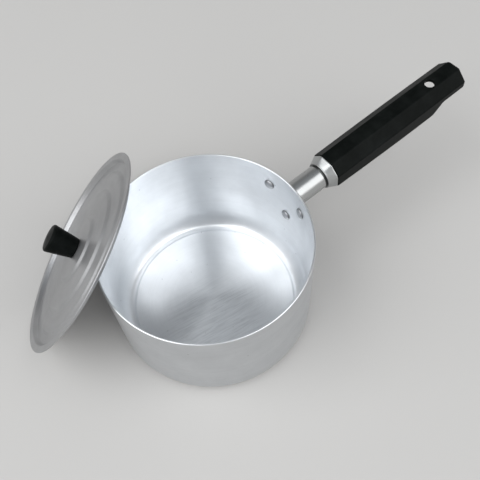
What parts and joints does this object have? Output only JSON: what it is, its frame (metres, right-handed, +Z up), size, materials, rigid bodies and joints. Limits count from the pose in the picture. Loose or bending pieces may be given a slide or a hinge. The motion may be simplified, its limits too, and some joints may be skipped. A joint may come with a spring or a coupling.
{
  "type": "saucepan",
  "caption": "Round spun-aluminium saucepan with a long octagonal black handle on a bright steel shank, and a stepped lift-off lid with a tapered knob leaning on its rim.",
  "frame": {"origin": "centre of the flat base, on the surface the pan stands on", "axes": "+Z up along the pan axis, +X along the handle away from the pan"},
  "size_m": [0.4058, 0.22, 0.1317],
  "materials": {
    "pan_aluminium": "satin, spun",
    "lid_aluminium": "satin, spun",
    "rivet_aluminium": "satin",
    "bright_steel": "polished",
    "fixing_steel": "zinc plated",
    "insert_brass": "turned",
    "black_bakelite": "semi-gloss, moulded"
  },
  "bodies": {
    "pan": {"pan_body": "pan_aluminium", "handle_bracket": "bright_steel", "rivet_upper_left": "rivet_aluminium", "rivet_upper_right": "rivet_aluminium", "rivet_lower": "rivet_aluminium", "bracket_nut": "fixing_steel", "handle_stud": "fixing_steel", "handle_collar": "bright_steel", "grip_insert": "insert_brass", "handle_grip": "black_bakelite"},
    "lid": {"lid_disc": "lid_aluminium", "lid_knob": "black_bakelite", "knob_insert": "insert_brass", "knob_washer": "fixing_steel", "knob_screw": "fixing_steel"}
  },
  "joints": [
    {"name": "lid_lift", "type": "slide", "parent": "pan", "child": "lid", "axis": [-0.5444, 0.5757, 0.6101], "range_m": [0, 0.2]}
  ]
}
